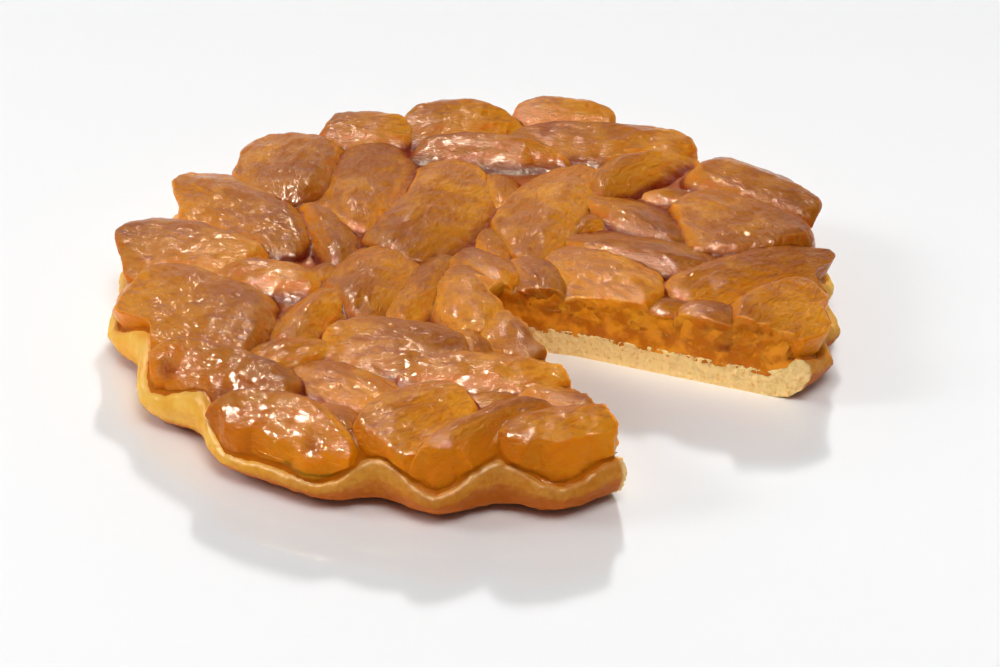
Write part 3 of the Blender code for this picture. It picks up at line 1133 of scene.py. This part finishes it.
@dataclass
class Apples:
    """The apple pieces on top of the tart."""

    nodes: dict[str, Piece]
    finish: Material
    cut: CutSides
    wall: Wall
    voxel: float = 1.3
    spare: float = 3.0
    lift: float = 2.5
    top_skin: float = 1.2
    round_off: int = 18
    settle: int = 7
    soften: int = 2
    edge: float = 0.7
    flare: float = 4.0
    flare_down: Band = (-2.0, 8.0)
    flare_off_cut: Band = (0.0, 7.0)
    plump: float = 1.7
    droop: float = 2.0
    into_wall: float = 0.6
    swing: float = 12.0
    shift: float = 0.5
    swell: float = 2.6
    lump: float = 1.7
    lump_stretch: float = 1.6
    fibre: float = 0.22
    fibre_stretch: float = 3.0
    cut_lump: float = 3.2
    off_cut: Band = (0.2, 1.5)
    cut_face: Band = (0.3, 1.2)
    # Leaned towards the back, so the crown paints light and shade by how each slope faces.
    top_with_painted_light_tilt: Vec3 = (0.0, 0.3, 1.0)
    crown_from: Band = (0.62, 0.98)
    usual_tones: Band = (0.3, 0.75)
    painted_shading: float = 0.3
    painted_shading_across: float = 0.15
    shallowest: float = 5.0
    # Painted light by the wall: pieces near the lip count as higher, so they take less of the painted crease
    # shade.
    lit: float = 0.25
    lit_at_rim: Band = (3.0, 13.0)
    leaning: tuple[str, ...] = tuple(f"rim_{number:02}" for number in range(1, 15))
    lean: float = 0.4
    far_leaning: tuple[str, ...] = ("rim_04", "rim_07")
    far_lean: float = 0.7
    bent: tuple[str, ...] = ("core_08", "rim_18", "rim_04", "rim_07")

    def build(self) -> list[Piece]:
        """Models every piece over its solid."""
        rng = np.random.default_rng(SEED)
        return [self.build_one(name, rng) for name in sorted(self.nodes)]

    def build_one(self, name: str, rng: np.random.Generator) -> Piece:
        """Models one piece: soft like stewed fruit, flat where it was sliced, furrowed along its fibres.

        Args:
            name: The solid's name.
            rng: Where the chances come from.

        Returns:
            The piece.
        """
        piece = copy_of(self.nodes[name], name + "_flesh")
        short = name.removeprefix("apple_")
        if short not in self.bent:
            edit_all(piece, bpy.ops.mesh.convex_hull)
        axes = self.axes_of(points_of(piece), rng.uniform(-self.swing, self.swing))
        offset = tuple(rng.uniform(-self.shift, self.shift, 3))
        plane = self.slice_of(piece)
        self.cut.stretch(piece, self.spare)
        self.lift_top(piece, plane)
        remesh(piece, self.voxel)
        self.spread(piece, plane)
        smooth(piece, self.round_off, use_z=False)
        smooth(piece, self.settle)
        finish_with(piece, "SUBSURF", levels=1, render_levels=1)
        puff(piece, self.plump)
        grain = Grain(axes.heading, self.lump_stretch, offset)
        emboss(piece, Relief.SWELL, self.swell, grain)
        self.slice_top(piece, plane, axes, ROOFS.get(short, USUAL_ROOF))
        lean = self.far_lean if short in self.far_leaning else self.lean if short in self.leaning else 0.0
        self.wall.hold_in(piece, self.into_wall, lean)
        smooth(piece, self.soften)
        emboss(piece, Relief.LUMP, self.lump, grain)
        self.cut.trim(piece)
        emboss(piece, Relief.LUMP, self.cut_lump, grain, self.cut.near(points_of(piece), self.off_cut))
        # The crown leans towards the back, which paints light and shade into the colour.
        crown = ease(normals_of(piece) @ self.top_with_painted_light_tilt, self.crown_from)
        furrows = Grain(axes.heading, self.fibre_stretch, offset)
        emboss(piece, Relief.FIBRE, self.fibre, furrows, 0.35 + 0.65 * crown)
        self.mark(piece, axes, crown, TONES.get(short, rng.uniform(*self.usual_tones)))
        piece.data.materials.append(self.finish)
        piece.data.shade_smooth()
        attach(piece, "root")
        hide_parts(name)
        return piece

    @staticmethod
    def axes_of(points: Rows, swing: float) -> Axes:
        """Measures a piece as seen from above.

        Args:
            points: Its points.
            swing: How many degrees to swing its heading by.

        Returns:
            Its middle, heading and half sizes.
        """
        middle = (points[:, :2].max(axis=0) + points[:, :2].min(axis=0)) / 2
        flat = points[:, :2] - middle
        _, vectors = np.linalg.eigh(flat.T @ flat)
        half = np.abs(flat @ vectors).max(axis=0)
        heading = math.degrees(math.atan(vectors[1, 1] / vectors[0, 1]))
        return Axes(tuple(middle), heading + swing, half[1], half[0])

    @staticmethod
    def slice_of(piece: Piece) -> Rows:
        """Finds the plane of a piece's sliced top.

        Args:
            piece: The piece, with its top still flat.

        Returns:
            The a, b and c of z = a x + b y + c.
        """
        flattest = max(polygon.normal.z for polygon in piece.data.polygons)
        top = [polygon for polygon in piece.data.polygons if polygon.normal.z > flattest - 0.01]
        rows = np.array([(*polygon.center[:2], 1.0) for polygon in top])
        heights = np.array([polygon.center.z for polygon in top])
        weights = np.sqrt([polygon.area for polygon in top])
        return np.linalg.lstsq(rows * weights[:, None], heights * weights, rcond=None)[0]

    @staticmethod
    def over(points: Rows, plane: Rows) -> Rows:
        """How far each point is over a plane, in metres."""
        return points[:, 2] - (points[:, 0] * plane[0] + points[:, 1] * plane[1] + plane[2])

    def lift_top(self, piece: Piece, plane: Rows) -> None:
        """Raises the top, so that it can be sliced flat after its edges have softened.

        Args:
            piece: The piece.
            plane: The plane of its sliced top.
        """
        points = points_of(piece)
        points[:, 2] += (self.over(points, plane) > -self.top_skin * MM) * self.lift * MM
        move_points(piece, points)

    def spread(self, piece: Piece, plane: Rows) -> None:
        """Widens the piece below its top, where the soft fruit leans on its neighbours.

        Args:
            piece: The piece.
            plane: The plane of its sliced top.
        """
        points, normals = points_of(piece), normals_of(piece)
        down = -self.over(points, plane) / MM
        share = ease(down, self.flare_down) * ease(self.cut.depth(points), self.flare_off_cut)
        points[:, :2] += normals[:, :2] * (share * self.flare * MM)[:, None]
        move_points(piece, points)

    def slice_top(self, piece: Piece, plane: Rows, axes: Axes, roof: Roof) -> None:
        """Presses what stands over the top softly down to it.

        Args:
            piece: The piece.
            plane: The plane of its sliced top.
            axes: The piece seen from above.
            roof: How its top falls away from that plane.
        """
        soft = self.edge * MM
        points = points_of(piece)
        along, across = axes.shares(points)
        droop = self.droop * MM * ((along**2 + across**2) / 2 - 0.25)
        over = (self.over(points, plane) + droop + roof.fall(along, across, axes)) / soft
        points[:, 2] -= soft * np.logaddexp(0, over)
        move_points(piece, points)

    def mark(self, piece: Piece, axes: Axes, crown: Rows, tone: float) -> None:
        """Keeps what the finish reads: the grain, how high and how flat each spot is, which the finish turns
        into painted shade low down, its tone with painted shade across it, and the cut.

        Args:
            piece: The piece.
            axes: The piece seen from above.
            crown: How much each spot belongs to the sliced top, leaned towards the back so that it paints light
                and shade by how each slope faces.
            tone: The piece's own tone, from dark to light.
        """
        points = points_of(piece)
        along, across = axes.offsets(points)
        store(piece, "grain", np.stack((along, across, points[:, 2]), axis=1))
        top = points[:, 2].max()
        valley = np.minimum(self.wall.fill_level(points) * MM, top - self.shallowest * MM)
        rise = (points[:, 2] - valley) / (top - valley)
        # Painted light: near the wall the rise is lifted, so less painted shade falls there.
        store(piece, "rise", rise + self.lit * (1 - ease(self.wall.room(points), self.lit_at_rim)))
        store(piece, "crown", crown)
        along, across = axes.shares(points)
        # Painted shade across each piece: lighter towards one end and its front, darker towards the other end
        # and its back.
        painted_shading = self.painted_shading * along * (1 if tone > 0.5 else -1) - self.painted_shading_across * across
        store(piece, "tone", np.clip(tone + painted_shading, 0, 1))
        store(piece, "cut", self.cut.near(points, self.cut_face))


@dataclass
class Bed:
    """The soft apple and caramel that fill the tart between and under the pieces."""

    node: Piece
    finish: Material
    cut: CutSides
    wall: Wall
    voxel: float = 1.35
    spare: float = 3.0
    into_dish: float = 2.5
    dish_from: float = 9.0
    settle: int = 7
    sink: float = 0.7
    lump: float = 0.5
    cut_lump: float = 2.4
    off_cut: Band = (0.2, 1.5)
    cut_face: Band = (0.8, 3.0)
    level_top: Band = (0.93, 0.99)
    pool_from_rim: Band = (3.0, 12.0)
    along_wall: Band = (1.0, 9.0)
    rough_voxel: float = 2.0
    widen: float = 6.0
    widen_from: Band = (118.0, 128.0)
    foot: Band = (10.5, 12.0)
    top_from: Band = (12.5, 13.8)

    def build(self, apples: list[Piece]) -> Piece:
        """Fills the valleys up to the pieces, with a soft hollow along each edge.

        Args:
            apples: The finished pieces.

        Returns:
            The filling.
        """
        fill = copy_of(self.node, "fill")
        self.cut.stretch(fill, self.spare)
        self.raise_top(fill)
        dish = copy_of(self.wall.node, "dish")
        points = points_of(dish)
        points[:, 2] = np.maximum(points[:, 2], self.dish_from * MM)
        move_points(dish, points)
        bed = join([fill, dish, *apples], "caramel_bed")
        bpy.data.objects.remove(fill)
        bpy.data.objects.remove(dish)
        bed.data.materials.clear()
        for attribute in ("grain", "rise", "crown", "tone", "cut"):
            bed.data.attributes.remove(bed.data.attributes[attribute])
        remesh(bed, self.voxel)
        smooth(bed, self.settle)
        puff(bed, -self.sink)
        emboss(bed, Relief.LUMP, self.lump)
        self.cut.trim(bed)
        emboss(bed, Relief.LUMP, self.cut_lump, share=self.cut.near(points_of(bed), self.off_cut))
        points = points_of(bed)
        store(bed, "cut", self.cut.near(points, self.cut_face))
        room = self.wall.room(points)
        # Pool marks the open, level caramel; along the pieces it is 0, where the finish paints crease shade.
        store(bed, "pool", ease(normals_of(bed)[:, 2], self.level_top) * ease(room, self.pool_from_rim))
        store(bed, "wall", 1 - ease(room, self.along_wall))
        bed.data.materials.append(self.finish)
        bed.data.shade_smooth()
        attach(bed, "root")
        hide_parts("apple_bed")
        return bed

    def raise_top(self, fill: Piece) -> None:
        """Lifts the bed's top to the level of the valleys and spreads it to the wall, just over the lip.

        Args:
            fill: The bed, before the apples are joined to it.
        """
        remesh(fill, self.rough_voxel)
        points = points_of(fill)
        radius = radius_of(points)
        points[:, :2] *= (1 + self.widen / radius * ease(radius, self.widen_from))[:, None]
        points[:, 2] -= self.into_dish * MM * (1 - ease_metres(points[:, 2], self.foot))
        move_points(fill, points)
        self.wall.hold_in(fill, self.into_dish)
        points = points_of(fill)
        share = ease(points[:, 2] / MM, self.top_from)
        points[:, 2] += (self.wall.fill_level(points) * MM - points[:, 2]) * share
        move_points(fill, points)


@dataclass
class Crust:
    """The pastry dish."""

    node: Piece
    finish: Material
    cut: CutSides
    voxel: float = 1.0
    spare: float = 2.0
    puff: float = 0.35
    settle: int = 6
    lump: float = 1.3
    blister: float = 0.7
    crumb: float = 1.6
    off_ground: Band = (0.4, 2.0)
    crumb_depth: Band = (0.7, 1.6)
    cut_face: Band = (0.7, 1.8)
    hidden_radius: float = 112.0
    hidden_depth: float = 6.0
    thinned: float = 0.9
    foot: Band = (2.0, 8.0)
    turned_under: Band = (-0.7, 0.1)
    front_right_band: Band = (10.0, 115.0)
    lower_half: Band = (5.0, 13.0)

    def build(self) -> Piece:
        """Models the dish over its solid: soft folds, a blistered wall and a crumbly cut.

        Returns:
            The dish.
        """
        crust = copy_of(self.node, "pastry_crust")
        self.cut.stretch(crust, self.spare)
        remesh(crust, self.voxel)
        puff(crust, self.puff)
        smooth(crust, self.settle)
        self.cut.trim(crust)
        points = points_of(crust)
        cut = self.cut.near(points, self.crumb_depth)
        above = ease_metres(points[:, 2], self.off_ground)
        emboss(crust, Relief.LUMP, self.lump, share=above)
        emboss(crust, Relief.BLISTER, self.blister, share=above)
        emboss(crust, Relief.CRUMB, self.crumb, share=cut * above)
        self.thin_hidden(crust)
        points = points_of(crust)
        store(crust, "cut", self.cut.near(points, self.cut_face))
        store(crust, "bake", self.bake_of(points, normals_of(crust)))
        crust.data.materials.append(self.finish)
        crust.data.shade_smooth()
        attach(crust, "root")
        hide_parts("pastry")
        return crust

    def thin_hidden(self, crust: Piece) -> None:
        """Coarsens the floor, which the apples and the table hide.

        Args:
            crust: The dish.
        """
        points = points_of(crust)
        hidden = (radius_of(points) < self.hidden_radius) & (self.cut.depth(points) > self.hidden_depth)
        group = crust.vertex_groups.new(name="hidden")
        group.add(np.nonzero(hidden)[0].tolist(), 1.0, "REPLACE")
        kept = 1 - self.thinned * hidden.mean()
        finish_with(crust, "DECIMATE", ratio=kept, vertex_group="hidden")
        crust.vertex_groups.clear()

    def bake_of(self, points: Rows, normals: Rows) -> Rows:
        """How brown each spot is: most at the foot, where the wall turns under, and towards the front right.

        Args:
            points: The crust's points.
            normals: Their normals.

        Returns:
            A share for each point.
        """
        low = 1 - ease_metres(points[:, 2], self.foot)
        under = 1 - ease(normals[:, 2], self.turned_under)
        front_right = ease_metres(points[:, 0] * 0.4 - points[:, 1] * 0.8, self.front_right_band)
        lower = 1 - ease_metres(points[:, 2], self.lower_half)
        return np.clip(0.75 * low + 0.35 * under + front_right * (0.65 + 0.3 * lower), 0, 1)


# The studio.


@dataclass
class Studio:
    """The camera, the lights and the floor."""

    target: Vec3 = (0.0099, -0.0342, 0.015)
    distance: float = 0.8831
    elevation: float = 30.37
    lens: float = 85.0
    floor_size: float = 8.0
    ambient: float = 0.1
    backdrop: float = 0.85
    glint: Vec3 = (1.0, 0.86, 0.62)
    sun: float = 2.0
    sun_width: float = 4.0

    def build(self) -> None:
        """Sets up everything round the tart."""
        self.add_camera()
        self.add_floor()
        self.add_world()
        for name, place, size, power in (
            ("left lamp", (-2.6, 0.1, 1.7), 1.0, 30.0),
            ("top lamp", (0.3, -1.2, 2.9), 1.4, 50.0),
            ("left glint", (-0.72, -0.2, 0.8), 0.24, 80.0),
            ("top glint", (-0.05, -0.45, 1.15), 0.25, 85.0),
            ("middle glint", (-0.35, 0.1, 1.25), 0.22, 65.0),
            ("high glint", (-0.3, 0.85, 1.23), 0.2, 26.0),
        ):
            lamp = self.add_lamp(name, place, size, power)
            if "glint" in name:
                lamp.visible_diffuse = False
                lamp.data.color = self.glint
            else:
                lamp.visible_glossy = False
        self.add_sun()

    def add_camera(self) -> None:
        """Puts the camera where the tart is seen from."""
        lens = bpy.data.cameras.new("camera")
        lens.lens = self.lens
        lens.clip_start = 0.01
        camera = new_object("camera", lens)
        tilt = math.radians(self.elevation)
        back = Vector((0, -math.cos(tilt), math.sin(tilt)))
        camera.location = Vector(self.target) + back * self.distance
        camera.rotation_euler = (math.radians(90) - tilt, 0, 0)
        bpy.context.scene.camera = camera

    def add_floor(self) -> None:
        """Lays the floor."""
        bpy.ops.object.select_all(action="DESELECT")
        bpy.ops.mesh.primitive_plane_add(size=self.floor_size)
        floor = bpy.context.object
        floor.name = "floor"
        floor.data.materials.append(FloorFinish().material())

    def add_world(self) -> None:
        """A white room, brightest behind the tart."""
        world = bpy.data.worlds.new("studio")
        bpy.context.scene.world = world
        world.use_nodes = True
        nodes = Nodes(world.node_tree)
        direction = nodes.add("SeparateXYZ")
        nodes.feed(direction, Vector=nodes.add("TexCoord").outputs["Generated"])
        behind = nodes.ramp(direction.outputs["Y"], 0.0, 0.6)
        low = nodes.ramp(direction.outputs["Z"], 0.5, 0.72, 1.0, 0.0)
        light = nodes.ramp(nodes.math("MULTIPLY", behind, low), 0.0, 1.0, self.ambient, self.backdrop)
        background = world.node_tree.nodes["Background"]
        nodes.feed(background, Strength=light, Color=(1.0, 1.0, 1.0, 1.0))
        bpy.context.scene.view_settings.view_transform = "Standard"

    def add_sun(self) -> None:
        """Adds the low light from behind that throws the tart's shadow forwards, and leaves no glare on it."""
        light = bpy.data.lights.new("low light", "SUN")
        light.energy = self.sun
        light.angle = math.radians(self.sun_width)
        lamp = new_object("low light", light)
        lamp.rotation_euler = (math.radians(-60), 0, math.radians(-4))
        lamp.visible_glossy = False

    def add_lamp(self, name: str, place: Vec3, size: float, power: float) -> Piece:
        """Hangs a square lamp that looks at the tart.

        Args:
            name: The lamp's name.
            place: Where it hangs, in metres.
            size: The length of its sides, in metres.
            power: Its power in watts.

        Returns:
            The lamp.
        """
        light = bpy.data.lights.new(name, "AREA")
        light.size = size
        light.energy = power
        lamp = new_object(name, light)
        lamp.location = place
        lamp.rotation_euler = (-Vector(place)).to_track_quat("-Z", "Y").to_euler()
        return lamp


def main() -> None:
    """Builds the tart round its solids and logs the number of pieces and their faces."""
    logging.basicConfig(level=logging.INFO, format="%(name)s: %(message)s")
    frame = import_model()
    nodes = frame["nodes"]
    cut = CutSides()
    wall = Wall(nodes["pastry"])
    flesh = {name: node for name, node in nodes.items() if name.startswith("apple_") and name != "apple_bed"}
    apples = Apples(flesh, AppleFinish().material(), cut, wall).build()
    log.info("%d apple pieces, %d faces", len(apples), sum(len(piece.data.polygons) for piece in apples))
    bed = Bed(nodes["apple_bed"], CaramelFinish().material(), cut, wall).build(apples)
    log.info("%s, %d faces", bed.name, len(bed.data.polygons))
    crust = Crust(nodes["pastry"], PastryFinish().material(), cut).build()
    log.info("%s, %d faces", crust.name, len(crust.data.polygons))
    Studio().build()


if __name__ == "__main__":
    main()
